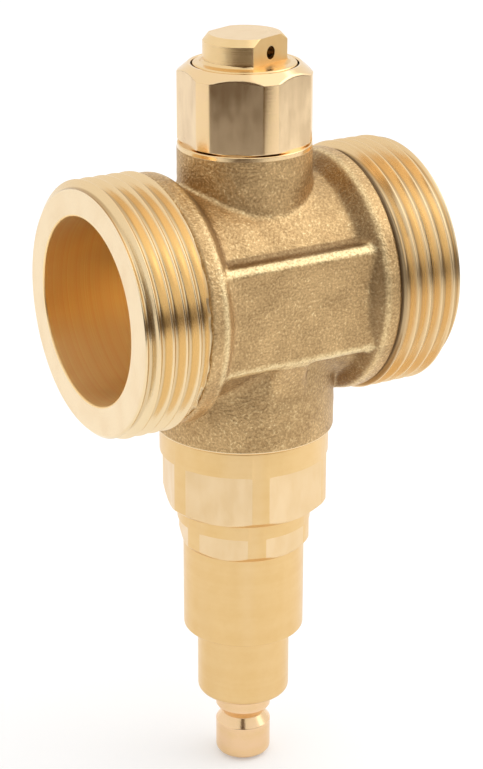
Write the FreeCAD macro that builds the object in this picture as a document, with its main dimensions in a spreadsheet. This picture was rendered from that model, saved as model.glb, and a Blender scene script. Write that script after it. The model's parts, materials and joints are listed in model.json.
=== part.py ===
import FreeCAD, Part
import math
import os

import Sketcher
from FreeCAD import Placement, Rotation, Vector

# An anti-freeze valve for a water pipe. X runs along the pipe and Z points up. The origin is the
# point where the pipe's axis crosses the common axis of the two bosses. Lengths are millimetres
# and angles are degrees. Heights and depths count from the pipe's axis.
DIMENSIONS = {
    # forged body: ports with a G 1 1/4 outside thread, drawn at its major diameter
    "port_span": 58.2,
    "thread_radius": 20.955,
    "thread_start": 18.0,
    "thread_chamfer": 0.95,
    "relief_radius": 19.3,
    "relief_width": 0.7,
    "collar_radius": 20.4,
    "collar_foot": 12.1,
    "collar_start": 14.5,
    "collar_round": 0.8,
    "flow_radius": 15.25,
    "waist_radius": 17.7,
    "pad_reach": 18.0,
    "pad_half_height": 8.1,
    "pad_bevel": 1.05,
    "pad_blend": 0.7,
    "collar_blend": 0.8,
    "boss_blend": 0.7,
    "top_boss_radius": 10.93,
    "top_boss_height": 24.0,
    "top_boss_edge": 0.12,
    "base_boss_radius": 15.0,
    "base_boss_depth": 24.6,
    "base_boss_edge": 0.3,
    "breaker_hole_radius": 8.35,
    "cartridge_hole_radius": 10.55,
    "hole_chamfer": 0.4,
    # clearances
    "thread_gap": 0.07,
    "sliding_gap": 0.08,
    "seal_gap": 0.03,
    # vacuum breaker above the pipe
    "breaker_low": 15.6,
    "breaker_flats": 20.0,
    "breaker_turn": -8.0,
    "breaker_radius": 10.86,
    "breaker_foot": 0.35,
    "breaker_shoulder": 35.27,
    "breaker_rim": 36.75,
    "breaker_rim_radius": 9.1,
    "breaker_groove_radius": 6.75,
    "breaker_groove_low": 21.7,
    "breaker_groove_high": 23.5,
    "breaker_chamber_radius": 5.6,
    "breaker_lip_radius": 5.0,
    "breaker_lip_height": 17.0,
    "breaker_web_low": 31.2,
    "breaker_web_high": 34.2,
    "air_seat_height": 30.6,
    "air_seat_radius": 3.9,
    "air_hole_radius": 3.0,
    "cap_recess_radius": 8.6,
    "cap_flange_radius": 8.35,
    "cap_flange_low": 34.9,
    "cap_flange_high": 36.85,
    "cap_head_low": 37.05,
    "cap_head_radius": 6.75,
    "cap_head_round": 0.5,
    "cap_head_shoulder": 40.4,
    "cap_top": 41.46,
    "cap_top_radius": 5.79,
    "cap_flat_reach": 5.1,
    "cap_turn": -68.0,
    "cap_bore_radius": 3.2,
    "cap_bore_top": 40.0,
    "vent_radius": 1.05,
    "vent_height": 38.9,
    "gasket_inner_radius": 6.0,
    "air_disc_radius": 4.8,
    "air_disc_low": 28.2,
    "air_disc_high": 29.8,
    "air_stem_radius": 1.5,
    "air_stem_low": 16.6,
    "air_button_radius": 2.4,
    "air_button_high": 31.6,
    "air_seal_radius": 4.6,
    "retainer_radius": 5.5,
    "retainer_high": 18.2,
    "retainer_hole_radius": 0.7,
    "retainer_hole_circle": 4.2,
    "retainer_holes": 6,
    "air_spring_radius": 3.1,
    "air_spring_wire": 0.6,
    "air_spring_turns": 5.0,
    # adapter below the pipe
    "adapter_top": 15.6,
    "adapter_bore_radius": 7.9,
    "adapter_groove_radius": 8.9,
    "adapter_groove_top": 22.0,
    "adapter_groove_bottom": 23.9,
    "adapter_radius": 14.25,
    "adapter_flats": 26.0,
    "hexagon_turn": -19.0,
    "adapter_flats_top": 29.0,
    "adapter_shoulder": 37.3,
    "adapter_foot_radius": 12.9,
    "adapter_foot": 38.4,
    "adapter_edge": 0.3,
    "socket_radius": 9.07,
    "socket_top": 28.0,
    "ring_groove_radius": 8.4,
    "ring_groove_top": 17.2,
    "ring_groove_bottom": 18.2,
    "ring_inner_radius": 6.9,
    "ring_outer_radius": 8.3,
    "ring_gap": 3.0,
    "washer_inner_radius": 4.9,
    "washer_radius": 7.8,
    "washer_bottom": 19.2,
    "washer_scallop_radius": 0.9,
    "washer_scallops": 6,
    # wax capsule with its guide, piston and over-travel spring
    "capsule_radius": 4.3,
    "capsule_top": 17.2,
    "capsule_dome_radius": 3.2,
    "capsule_dome": 18.2,
    "capsule_flange_radius": 5.8,
    "capsule_flange_top": 26.2,
    "capsule_nose_radius": 2.9,
    "capsule_nose_bottom": 34.0,
    "capsule_bore_top": 19.6,
    "guide_radius": 8.9,
    "guide_bottom": 29.5,
    "guide_hole_radius": 0.5,
    "guide_hole_circle": 6.4,
    "guide_holes": 8,
    "over_spring_radius": 5.1,
    "over_spring_wire": 0.8,
    "over_spring_turns": 3.5,
    "piston_radius": 1.5,
    "piston_top": 22.5,
    "piston_bottom": 43.2,
    # drain housing
    "housing_groove_radius": 8.0,
    "housing_groove_top": 36.0,
    "housing_groove_bottom": 37.2,
    "housing_band_radius": 11.35,
    "housing_flats": 21.0,
    "housing_flats_top": 41.5,
    "housing_band_shoulder": 44.9,
    "housing_radius": 10.35,
    "housing_shoulder": 45.9,
    "housing_step": 62.0,
    "housing_edge": 0.3,
    "spout_radius": 7.95,
    "spout_bottom": 74.9,
    "spout_round": 1.1,
    "drain_chamber_radius": 7.0,
    "drain_chamber_floor": 52.5,
    "drain_seat_radius": 4.2,
    "drain_seat_depth": 46.6,
    "drain_hole_radius": 3.2,
    "outlet_taper_top": 53.5,
    "outlet_taper_bottom": 55.7,
    "outlet_radius": 5.75,
    # drain poppet, return spring and stem
    "poppet_radius": 6.2,
    "poppet_top": 44.5,
    "poppet_bottom": 46.5,
    "poppet_hub_radius": 2.6,
    "poppet_hub_top": 41.5,
    "poppet_socket_bottom": 43.2,
    "poppet_thread_top": 44.0,
    "drain_seal_inner_radius": 2.2,
    "drain_seal_radius": 4.6,
    "drain_seal_top": 45.7,
    "return_spring_radius": 5.4,
    "return_spring_wire": 0.8,
    "return_spring_turns": 3.0,
    "stem_radius": 1.6,
    "stem_guide_flat": 3.9,
    "stem_guide_top": 59.0,
    "stem_guide_bottom": 62.0,
    "rod_radius": 4.8,
    "rod_groove_top": 78.2,
    "rod_groove_depth": 79.8,
    "rod_groove_radius": 3.67,
    "rod_groove_bottom": 81.4,
    "rod_bottom": 87.5,
    "rod_round": 1.0,
}

FULL_TURN = 360
QUARTER_TURN = 90
TRIANGLE, SQUARE, HEXAGON = 3, 4, 6
ORIGIN_POINT = (-1, 1)
CLEAR_OF_PIECE = 1.3
EDGE_SAMPLES = 9
ON_PLACE = 1e-4


class Size:
    """A dimension known both as a number and as an expression on the sheet."""

    def __init__(self, number, text):
        self.number = number
        self.text = text

    def __float__(self):
        return self.number

    def __neg__(self):
        return Size(-self.number, f"(-{self.text})")

    def __add__(self, other):
        return self.joined("+", other, self.number + float(other))

    def __sub__(self, other):
        return self.joined("-", other, self.number - float(other))

    def __mul__(self, other):
        return self.joined("*", other, self.number * float(other))

    def __truediv__(self, other):
        return self.joined("/", other, self.number / float(other))

    def joined(self, sign, other, number):
        text = other.text if isinstance(other, Size) else repr(other)
        return Size(number, f"({self.text} {sign} {text})")


class Dimensions:
    """The sheet of driving dimensions, with each alias as an attribute."""

    def __init__(self, doc, values):
        sheet = doc.addObject("Spreadsheet::Sheet", "Dimensions")
        for row, (alias, number) in enumerate(values.items(), start=1):
            sheet.set(f"A{row}", alias)
            sheet.set(f"B{row}", str(number))
            sheet.setAlias(f"B{row}", alias)
            setattr(self, alias, Size(number, f"Dimensions.{alias}"))
        doc.recompute()


doc = FreeCAD.newDocument("AntiFreezeValve")
size = Dimensions(doc, DIMENSIONS)


def bind(item, path, value):
    """Tie one property of an object to the sheet."""
    item.setExpression(path, value.text)


def origin_feature(body, role):
    return next(item for item in body.Origin.OriginFeatures if item.Role == role)


def new_body(label):
    body = doc.addObject("PartDesign::Body", label)
    body.Label = label
    return body


def new_sketch(body, plane, height=None, turn=None, turn_axis=Vector(0, 0, 1)):
    """A sketch on one of the body's own planes, raised and turned by values on the sheet."""
    sketch = body.newObject("Sketcher::SketchObject", body.Label + "_sketch")
    sketch.AttachmentSupport = [(origin_feature(body, plane), "")]
    sketch.MapMode = "FlatFace"
    sketch.AttachmentOffset = Placement(Vector(), Rotation(turn_axis, 0))
    if height is not None:
        bind(sketch, "AttachmentOffset.Base.z", height)
    if turn is not None:
        sketch.AttachmentOffset = Placement(Vector(), Rotation(turn_axis, float(turn)))
        bind(sketch, "AttachmentOffset.Rotation.Angle", turn)
    return sketch


def pin(sketch, element, place, across, up):
    """Hold one point of a sketch at a distance from its origin. A plain 0 puts it on the axis."""
    for kind, axis, value in (("DistanceX", -2, across), ("DistanceY", -1, up)):
        if isinstance(value, Size):
            constraint = Sketcher.Constraint(kind, *ORIGIN_POINT, element, place, float(value))
            index = sketch.addConstraint(constraint)
            bind(sketch, f"Constraints[{index}]", value)
        else:
            sketch.addConstraint(Sketcher.Constraint("PointOnObject", element, place, axis))


def outline(sketch, corners):
    """A closed outline of straight lines through corners on the sheet."""
    points = [Vector(float(across), float(up), 0) for across, up in corners]
    first = sketch.GeometryCount
    lines = [Part.LineSegment(start, end) for start, end in zip(points, points[1:] + points[:1])]
    sketch.addGeometry(lines)
    for index, (across, up) in enumerate(corners):
        following = (index + 1) % len(corners)
        sketch.addConstraint(Sketcher.Constraint("Coincident", first + index, 2, first + following, 1))
        pin(sketch, first + index, 1, across, up)


def circle(sketch, radius, across=0, up=0):
    """A circle whose radius and centre are on the sheet."""
    centre = Vector(float(across), float(up), 0)
    element = sketch.addGeometry(Part.Circle(centre, Vector(0, 0, 1), float(radius)))
    index = sketch.addConstraint(Sketcher.Constraint("Radius", element, float(radius)))
    bind(sketch, f"Constraints[{index}]", radius)
    pin(sketch, element, 3, across, up)


def polygon_corners(sides, reach):
    """Corners of a regular polygon whose flats stand at this reach from the centre."""
    corner = 1 / math.cos(math.pi / sides)
    angles = [math.pi * (2 * index + 1) / sides for index in range(sides)]
    ways = [(corner * math.cos(angle), corner * math.sin(angle)) for angle in angles]
    return [(reach * across, bound_or_zero(reach, up)) for across, up in ways]


def bound_or_zero(reach, share):
    return reach * share if abs(share) > ON_PLACE else 0


def turned(label, corners, plane="XZ_Plane", axis="V_Axis"):
    """A lathe-turned piece: an outline of radius and height, carried once round the axis."""
    body = new_body(label)
    sketch = new_sketch(body, plane)
    outline(sketch, corners)
    add_turn(body, sketch, axis)
    return body


def add_turn(body, sketch, axis, kind="PartDesign::Revolution"):
    feature = body.newObject(kind, body.Label + "_turned")
    feature.Profile = sketch
    feature.ReferenceAxis = (sketch, [axis])
    feature.Angle = FULL_TURN
    return feature


def ring(label, inner, outer, low, high):
    return turned(label, [(inner, low), (outer, low), (outer, high), (inner, high)])


def add_pad(body, sketch, length, both_ways=False, downwards=False):
    pad = body.newObject("PartDesign::Pad", body.Label + "_pad")
    pad.Profile = sketch
    bind(pad, "Length", length)
    pad.SideType = "Symmetric" if both_ways else "One side"
    pad.Reversed = downwards
    return pad


def add_pocket(body, sketch, length=None, both_ways=False):
    """A cut to a depth below the sketch, or right through the piece."""
    pocket = body.newObject("PartDesign::Pocket", body.Label + "_pocket")
    pocket.Profile = sketch
    pocket.SideType = "Symmetric" if both_ways else "One side"
    if length is None:
        pocket.Type = "ThroughAll"
    else:
        bind(pocket, "Length", length)
    return pocket


def cut_flats(body, corners, blank_radius, low, high, turn):
    """Mill the round piece down to the outline given by its corners, between two heights."""
    sketch = new_sketch(body, "XY_Plane", high, turn)
    outline(sketch, corners)
    circle(sketch, blank_radius * CLEAR_OF_PIECE)
    add_pocket(body, sketch, high - low)


def cut_holes(body, count, hole_radius, circle_radius, low, high):
    """A ring of equal holes between two heights."""
    sketch = new_sketch(body, "XY_Plane", high)
    circle(sketch, hole_radius, across=circle_radius)
    pocket = add_pocket(body, sketch, high - low)
    pattern = body.newObject("PartDesign::PolarPattern", body.Label + "_pattern")
    pattern.Originals = [pocket]
    pattern.Axis = (origin_feature(body, "Z_Axis"), [""])
    pattern.Angle = FULL_TURN
    bind(pattern, "Occurrences", count)
    body.Tip = pattern


def dress_edges(body, kind, measure, value, chosen):
    """Put a fillet or a chamfer on the edges of the body that the test picks out by their points."""
    doc.recompute()
    base = body.Tip
    names = []
    for index, edge in enumerate(base.Shape.Edges, start=1):
        if chosen(edge.discretize(EDGE_SAMPLES)):
            names.append(f"Edge{index}")
    feature = body.newObject(kind, body.Label + "_edge")
    feature.Base = (base, names)
    bind(feature, measure, value)
    doc.recompute()


def round_edges(body, radius, chosen):
    dress_edges(body, "PartDesign::Fillet", "Radius", radius, chosen)


def bevel_edges(body, width, chosen):
    dress_edges(body, "PartDesign::Chamfer", "Size", width, chosen)


def all_on(points, measure, place):
    return all(abs(measure(point) - float(place)) < ON_PLACE for point in points)


def from_axis(point):
    return math.hypot(point.x, point.y)


def from_pipe(point):
    return math.hypot(point.y, point.z)


def ring_edge(radius, height):
    """A test for the edge that runs round the upright axis at this radius and height."""
    def chosen(points):
        on_height = all_on(points, lambda point: point.z, height)
        return on_height and all_on(points, from_axis, radius)
    return chosen


def o_ring(label, inner, outer, middle):
    """A rubber ring that fills the room between two radii, less a seal gap on each side."""
    torus = doc.addObject("Part::Torus", label)
    torus.Label = label
    bind(torus, "Radius1", (inner + outer) / 2)
    bind(torus, "Radius2", (outer - inner) / 2 - size.seal_gap)
    bind(torus, "Placement.Base.z", middle)
    return torus


def spring(label, radius, wire, turns, low, high):
    """A coil spring of square wire that stands between two heights."""
    helix = doc.addObject("Part::Helix", label + "_path")
    bind(helix, "Radius", radius)
    bind(helix, "Height", high - low - wire)
    bind(helix, "Pitch", (high - low - wire) / turns)
    bind(helix, "Placement.Base.z", low + wire / 2)
    section = doc.addObject("Part::RegularPolygon", label + "_section")
    section.Polygon = SQUARE
    section.Placement = Placement(Vector(), Rotation(Vector(1, 0, 0), QUARTER_TURN))
    bind(section, "Circumradius", wire / 2)
    bind(section, "Placement.Base.x", radius)
    bind(section, "Placement.Base.z", low + wire / 2)
    doc.recompute()
    coil = doc.addObject("Part::Sweep", label)
    coil.Label = label
    coil.Sections = [section]
    coil.Spine = (helix, [f"Edge{index + 1}" for index in range(len(helix.Shape.Edges))])
    coil.Solid = True
    coil.Frenet = True
    return coil


def make_valve_body():
    """The forged body: waist with two bevelled pads, a port each side, a boss above and below."""
    body = new_body("valve_body")

    waist = new_sketch(body, "YZ_Plane")
    circle(waist, size.waist_radius)
    add_pad(body, waist, size.collar_start * 2, both_ways=True)

    pads = new_sketch(body, "YZ_Plane")
    reach, rise = size.pad_reach, size.pad_half_height
    outline(pads, [(-reach, -rise), (reach, -rise), (reach, rise), (-reach, rise)])
    add_pad(body, pads, size.collar_start * 2, both_ways=True)

    def pad_corner(points):
        on_face = all_on(points, lambda point: abs(point.y), size.pad_reach)
        return on_face and all_on(points, lambda point: abs(point.z), size.pad_half_height)

    def pad_root(points):
        on_waist = all_on(points, from_pipe, size.waist_radius)
        return on_waist and all_on(points, lambda point: abs(point.z), size.pad_half_height)

    bevel_edges(body, size.pad_bevel, pad_corner)
    round_edges(body, size.pad_blend, pad_root)

    top_boss = new_sketch(body, "XY_Plane")
    circle(top_boss, size.top_boss_radius)
    add_pad(body, top_boss, size.top_boss_height)
    base_boss = new_sketch(body, "XY_Plane")
    circle(base_boss, size.base_boss_radius)
    add_pad(body, base_boss, size.base_boss_depth, downwards=True)

    port = new_sketch(body, "XZ_Plane")
    face = size.port_span / 2
    relief = size.thread_start - size.relief_width
    outline(port, [
        (size.collar_foot, 0),
        (size.collar_foot, size.waist_radius),
        (size.collar_start, size.collar_radius),
        (relief, size.collar_radius),
        (relief, size.relief_radius),
        (size.thread_start, size.relief_radius),
        (size.thread_start, size.thread_radius),
        (face - size.thread_chamfer, size.thread_radius),
        (face, size.thread_radius - size.thread_chamfer),
        (face, 0),
    ])
    right_port = add_turn(body, port, "H_Axis")
    left_port = body.newObject("PartDesign::Mirrored", "left_port")
    left_port.Originals = [right_port]
    left_port.MirrorPlane = (origin_feature(body, "YZ_Plane"), [""])
    body.Tip = left_port

    slope = float(size.collar_start - size.collar_foot) / float(size.collar_radius - size.waist_radius)

    def along_slope(point):
        """Where the collar's sloped inner side would be if it passed through this point."""
        return abs(point.x) - slope * (from_pipe(point) - float(size.waist_radius))

    def collar_root(points):
        below_rim = max(from_pipe(point) for point in points) < float(size.collar_radius) - ON_PLACE
        beside_boss = all_on(points, from_axis, size.base_boss_radius)
        return below_rim and not beside_boss and all_on(points, along_slope, size.collar_foot)

    def collar_rim(points):
        on_rim = all_on(points, from_pipe, size.collar_radius)
        ends = (float(size.collar_start), float(relief))
        return on_rim and any(all_on(points, lambda point: abs(point.x), end) for end in ends)

    round_edges(body, size.collar_blend, collar_root)
    round_edges(body, size.collar_round, collar_rim)

    def boss_foot(points):
        below_top = all(0 < point.z < float(size.top_boss_height) - ON_PLACE for point in points)
        return below_top and all_on(points, from_axis, size.top_boss_radius)

    round_edges(body, size.boss_blend, boss_foot)
    bevel_edges(body, size.top_boss_edge, ring_edge(size.top_boss_radius, size.top_boss_height))
    bevel_edges(body, size.base_boss_edge, ring_edge(size.base_boss_radius, -size.base_boss_depth))

    flow_bore = new_sketch(body, "YZ_Plane")
    circle(flow_bore, size.flow_radius)
    add_pocket(body, flow_bore, size.port_span * CLEAR_OF_PIECE, both_ways=True)

    holes = new_sketch(body, "XZ_Plane")
    widened = size.breaker_hole_radius + size.hole_chamfer
    outline(holes, [
        (0, 0),
        (size.breaker_hole_radius, 0),
        (size.breaker_hole_radius, size.top_boss_height - size.hole_chamfer),
        (widened, size.top_boss_height),
        (0, size.top_boss_height),
    ])
    add_turn(body, holes, "V_Axis", "PartDesign::Groove")
    lower_hole = new_sketch(body, "XZ_Plane")
    widened = size.cartridge_hole_radius + size.hole_chamfer
    outline(lower_hole, [
        (0, 0),
        (size.cartridge_hole_radius, 0),
        (size.cartridge_hole_radius, size.hole_chamfer - size.base_boss_depth),
        (widened, -size.base_boss_depth),
        (0, -size.base_boss_depth),
    ])
    add_turn(body, lower_hole, "V_Axis", "PartDesign::Groove")
    return body


def make_breaker():
    """The vacuum breaker: housing, cap, gasket, air poppet with seal and spring, retainer, O-ring."""
    spigot = size.breaker_hole_radius - size.thread_gap
    seat = size.top_boss_height
    housing = turned("breaker_housing", [
        (spigot, size.breaker_low),
        (spigot, size.breaker_groove_low),
        (size.breaker_groove_radius, size.breaker_groove_low),
        (size.breaker_groove_radius, size.breaker_groove_high),
        (spigot, size.breaker_groove_high),
        (spigot, seat),
        (size.breaker_radius - size.breaker_foot * 2, seat),
        (size.breaker_radius, seat + size.breaker_foot),
        (size.breaker_radius, size.breaker_shoulder),
        (size.breaker_rim_radius, size.breaker_rim),
        (size.cap_recess_radius, size.breaker_rim),
        (size.cap_recess_radius, size.breaker_web_high),
        (size.air_hole_radius, size.breaker_web_high),
        (size.air_hole_radius, size.air_seat_height),
        (size.air_seat_radius, size.air_seat_height),
        (size.air_seat_radius, size.breaker_web_low),
        (size.breaker_chamber_radius, size.breaker_web_low),
        (size.breaker_chamber_radius, size.breaker_lip_height),
        (size.breaker_lip_radius, size.breaker_lip_height),
        (size.breaker_lip_radius, size.breaker_low),
    ])
    hexagon = polygon_corners(HEXAGON, size.breaker_flats / 2)
    cut_flats(housing, hexagon, size.breaker_radius, seat, size.breaker_rim, size.breaker_turn)

    cap = turned("breaker_cap", [
        (size.cap_bore_radius, size.cap_flange_low),
        (size.cap_flange_radius, size.cap_flange_low),
        (size.cap_flange_radius, size.cap_flange_high),
        (size.cap_head_radius, size.cap_head_low),
        (size.cap_head_radius, size.cap_head_shoulder),
        (size.cap_top_radius, size.cap_top),
        (0, size.cap_top),
        (0, size.cap_bore_top),
        (size.cap_bore_radius, size.cap_bore_top),
    ])
    round_edges(cap, size.cap_head_round, ring_edge(size.cap_head_radius, size.cap_head_low))
    reach, side = size.cap_flat_reach, size.cap_head_radius
    two_flats = [(reach, -side), (reach, side), (-reach, side), (-reach, -side)]
    cut_flats(cap, two_flats, size.cap_flange_radius, size.cap_head_low, size.cap_top, size.cap_turn)
    vent = new_sketch(cap, "YZ_Plane", turn=size.cap_turn, turn_axis=Vector(0, 1, 0))
    circle(vent, size.vent_radius, up=size.vent_height)
    add_pocket(cap, vent, size.cap_flange_radius * 2, both_ways=True)

    gasket = ring("cap_gasket", size.gasket_inner_radius, size.cap_flange_radius - size.seal_gap,
                  size.breaker_web_high, size.cap_flange_low)
    poppet = turned("breaker_poppet", [
        (0, size.air_stem_low),
        (size.air_stem_radius, size.air_stem_low),
        (size.air_stem_radius, size.air_disc_low),
        (size.air_disc_radius, size.air_disc_low),
        (size.air_disc_radius, size.air_disc_high),
        (size.air_stem_radius, size.air_disc_high),
        (size.air_stem_radius, size.air_seat_height),
        (size.air_button_radius, size.air_seat_height),
        (size.air_button_radius, size.air_button_high),
        (0, size.air_button_high),
    ])
    seal = ring("breaker_poppet_seal", size.air_stem_radius + size.seal_gap, size.air_seal_radius,
                size.air_disc_high, size.air_seat_height)
    retainer = ring("breaker_retainer", size.air_stem_radius + size.sliding_gap, size.retainer_radius,
                    size.breaker_lip_height, size.retainer_high)
    cut_holes(retainer, size.retainer_holes, size.retainer_hole_radius, size.retainer_hole_circle,
              size.breaker_lip_height, size.retainer_high)
    coil = spring("breaker_spring", size.air_spring_radius, size.air_spring_wire,
                  size.air_spring_turns, size.retainer_high, size.air_disc_low)
    sealing_ring = o_ring("breaker_o_ring", size.breaker_groove_radius, size.breaker_hole_radius,
                          (size.breaker_groove_low + size.breaker_groove_high) / 2)
    return [housing, cap, gasket, poppet, seal, retainer, coil, sealing_ring]


def make_adapter():
    """The hexagon adapter under the body, with its O-ring, split ring and spring washer."""
    spigot = size.cartridge_hole_radius - size.thread_gap
    seat = -size.base_boss_depth
    adapter = turned("cartridge_adapter", [
        (size.adapter_bore_radius, -size.adapter_top),
        (spigot, -size.adapter_top),
        (spigot, -size.adapter_groove_top),
        (size.adapter_groove_radius, -size.adapter_groove_top),
        (size.adapter_groove_radius, -size.adapter_groove_bottom),
        (spigot, -size.adapter_groove_bottom),
        (spigot, seat),
        (size.adapter_radius - size.adapter_edge, seat),
        (size.adapter_radius, seat - size.adapter_edge),
        (size.adapter_radius, -size.adapter_shoulder),
        (size.adapter_foot_radius, -size.adapter_foot),
        (size.socket_radius, -size.adapter_foot),
        (size.socket_radius, -size.socket_top),
        (size.adapter_bore_radius, -size.socket_top),
        (size.adapter_bore_radius, -size.ring_groove_bottom),
        (size.ring_groove_radius, -size.ring_groove_bottom),
        (size.ring_groove_radius, -size.ring_groove_top),
        (size.adapter_bore_radius, -size.ring_groove_top),
    ])
    hexagon = polygon_corners(HEXAGON, size.adapter_flats / 2)
    cut_flats(adapter, hexagon, size.adapter_radius, -size.adapter_foot, -size.adapter_flats_top,
              size.hexagon_turn)

    sealing_ring = o_ring("adapter_o_ring", size.adapter_groove_radius, size.cartridge_hole_radius,
                          -(size.adapter_groove_top + size.adapter_groove_bottom) / 2)
    split_ring = ring("retaining_ring", size.ring_inner_radius, size.ring_outer_radius,
                      -size.ring_groove_bottom, -size.ring_groove_top - size.seal_gap)
    gap = new_sketch(split_ring, "XY_Plane", -size.ring_groove_top)
    outer, half_gap = size.ring_groove_radius, size.ring_gap / 2
    outline(gap, [(0, -half_gap), (outer, -half_gap), (outer, half_gap), (0, half_gap)])
    add_pocket(split_ring, gap)

    washer = ring("spring_washer", size.washer_inner_radius, size.washer_radius,
                  -size.washer_bottom, -size.ring_groove_bottom)
    cut_holes(washer, size.washer_scallops, size.washer_scallop_radius, size.washer_radius,
              -size.washer_bottom, -size.ring_groove_bottom)
    return [adapter, sealing_ring, split_ring, washer]


def make_capsule():
    """The wax capsule with the ring that guides it, its piston and the over-travel spring."""
    piston_bore = size.piston_radius + size.sliding_gap
    capsule = turned("wax_capsule", [
        (0, -size.capsule_top),
        (size.capsule_dome_radius, -size.capsule_top),
        (size.capsule_radius, -size.capsule_dome),
        (size.capsule_radius, -size.capsule_flange_top),
        (size.capsule_flange_radius, -size.capsule_flange_top),
        (size.capsule_flange_radius, -size.socket_top),
        (size.capsule_nose_radius, -size.socket_top),
        (size.capsule_nose_radius, -size.capsule_nose_bottom),
        (piston_bore, -size.capsule_nose_bottom),
        (piston_bore, -size.capsule_bore_top),
        (0, -size.capsule_bore_top),
    ])
    guide = ring("capsule_guide", size.capsule_nose_radius + size.sliding_gap, size.guide_radius,
                 -size.guide_bottom, -size.socket_top)
    cut_holes(guide, size.guide_holes, size.guide_hole_radius, size.guide_hole_circle,
              -size.guide_bottom, -size.socket_top)
    piston = turned("capsule_piston", [
        (0, -size.piston_bottom),
        (size.piston_radius, -size.piston_bottom),
        (size.piston_radius, -size.piston_top),
        (0, -size.piston_top),
    ])
    coil = spring("overtravel_spring", size.over_spring_radius, size.over_spring_wire,
                  size.over_spring_turns, -size.capsule_flange_top, -size.washer_bottom)
    return [capsule, guide, piston, coil]


def make_drain():
    """The drain housing with its O-ring, the poppet with seal and spring, and the knobbed stem."""
    spigot = size.socket_radius - size.thread_gap
    housing = turned("drain_housing", [
        (size.drain_chamber_radius, -size.guide_bottom),
        (spigot, -size.guide_bottom),
        (spigot, -size.housing_groove_top),
        (size.housing_groove_radius, -size.housing_groove_top),
        (size.housing_groove_radius, -size.housing_groove_bottom),
        (spigot, -size.housing_groove_bottom),
        (spigot, -size.adapter_foot),
        (size.housing_band_radius, -size.adapter_foot),
        (size.housing_band_radius, -size.housing_band_shoulder),
        (size.housing_radius, -size.housing_shoulder),
        (size.housing_radius, size.housing_edge - size.housing_step),
        (size.housing_radius - size.housing_edge, -size.housing_step),
        (size.spout_radius, -size.housing_step),
        (size.spout_radius, -size.spout_bottom),
        (size.outlet_radius, -size.spout_bottom),
        (size.outlet_radius, -size.outlet_taper_bottom),
        (size.drain_hole_radius, -size.outlet_taper_top),
        (size.drain_hole_radius, -size.drain_seat_depth),
        (size.drain_seat_radius, -size.drain_seat_depth),
        (size.drain_seat_radius, -size.drain_chamber_floor),
        (size.drain_chamber_radius, -size.drain_chamber_floor),
    ])
    hexagon = polygon_corners(HEXAGON, size.housing_flats / 2)
    cut_flats(housing, hexagon, size.housing_band_radius, -size.housing_shoulder,
              -size.housing_flats_top, size.hexagon_turn)
    round_edges(housing, size.spout_round, ring_edge(size.spout_radius, -size.spout_bottom))
    sealing_ring = o_ring("housing_o_ring", size.housing_groove_radius, size.socket_radius,
                          -(size.housing_groove_top + size.housing_groove_bottom) / 2)

    stem_hole = size.stem_radius + size.seal_gap
    poppet = turned("drain_poppet", [
        (0, -size.poppet_socket_bottom),
        (size.piston_radius + size.seal_gap, -size.poppet_socket_bottom),
        (size.piston_radius + size.seal_gap, -size.poppet_hub_top),
        (size.poppet_hub_radius, -size.poppet_hub_top),
        (size.poppet_hub_radius, -size.poppet_top),
        (size.poppet_radius, -size.poppet_top),
        (size.poppet_radius, -size.poppet_bottom),
        (size.drain_seal_radius, -size.poppet_bottom),
        (size.drain_seal_radius, -size.drain_seal_top),
        (size.drain_seal_inner_radius, -size.drain_seal_top),
        (size.drain_seal_inner_radius, -size.poppet_bottom),
        (stem_hole, -size.poppet_bottom),
        (stem_hole, -size.poppet_thread_top),
        (0, -size.poppet_thread_top),
    ])
    seal = ring("drain_poppet_seal", size.drain_seal_inner_radius + size.seal_gap,
                size.drain_seal_radius - size.seal_gap, -size.drain_seat_depth, -size.drain_seal_top)
    coil = spring("return_spring", size.return_spring_radius, size.return_spring_wire,
                  size.return_spring_turns, -size.drain_chamber_floor, -size.poppet_bottom)

    lobe = size.outlet_radius - size.sliding_gap
    stem = turned("drain_stem", [
        (0, -size.poppet_thread_top),
        (size.stem_radius, -size.poppet_thread_top),
        (size.stem_radius, -size.stem_guide_top),
        (lobe, -size.stem_guide_top),
        (lobe, -size.stem_guide_bottom),
        (size.rod_radius, -size.stem_guide_bottom),
        (size.rod_radius, -size.rod_groove_top),
        (size.rod_groove_radius, -size.rod_groove_depth),
        (size.rod_radius, -size.rod_groove_bottom),
        (size.rod_radius, -size.rod_bottom),
        (0, -size.rod_bottom),
    ])
    triangle = polygon_corners(TRIANGLE, size.stem_guide_flat)
    cut_flats(stem, triangle, size.stem_guide_flat * 2, -size.stem_guide_bottom, -size.stem_guide_top,
              size.hexagon_turn)
    round_edges(stem, size.rod_round, ring_edge(size.rod_radius, -size.rod_bottom))
    return [housing, sealing_ring, poppet, seal, coil, stem]


def check(pieces):
    """Stop before anything is written if an object failed or a piece has no sound solid."""
    for item in doc.Objects:
        if "Invalid" in item.State or "Error" in item.State:
            raise RuntimeError(f"{item.Label} failed: {item.State}")
    for piece in pieces:
        if piece.Shape.isNull() or not piece.Shape.isValid():
            raise RuntimeError(f"{piece.Label} has no valid shape")
        if len(piece.Shape.Solids) != 1:
            raise RuntimeError(f"{piece.Label} has {len(piece.Shape.Solids)} solids")


pieces = [make_valve_body(), *make_breaker(), *make_adapter(), *make_capsule(), *make_drain()]
doc.recompute()
check(pieces)
os.makedirs("parts", exist_ok=True)
for piece in pieces:
    piece.Shape.exportStep(f"parts/{piece.Label}.step")
    print(f"{piece.Label}: {piece.Shape.Volume:.1f} mm3, {len(piece.Shape.Faces)} faces")
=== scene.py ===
import json
import math

import bmesh
import bpy
import numpy as np
from mathutils import Matrix, Vector


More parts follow.
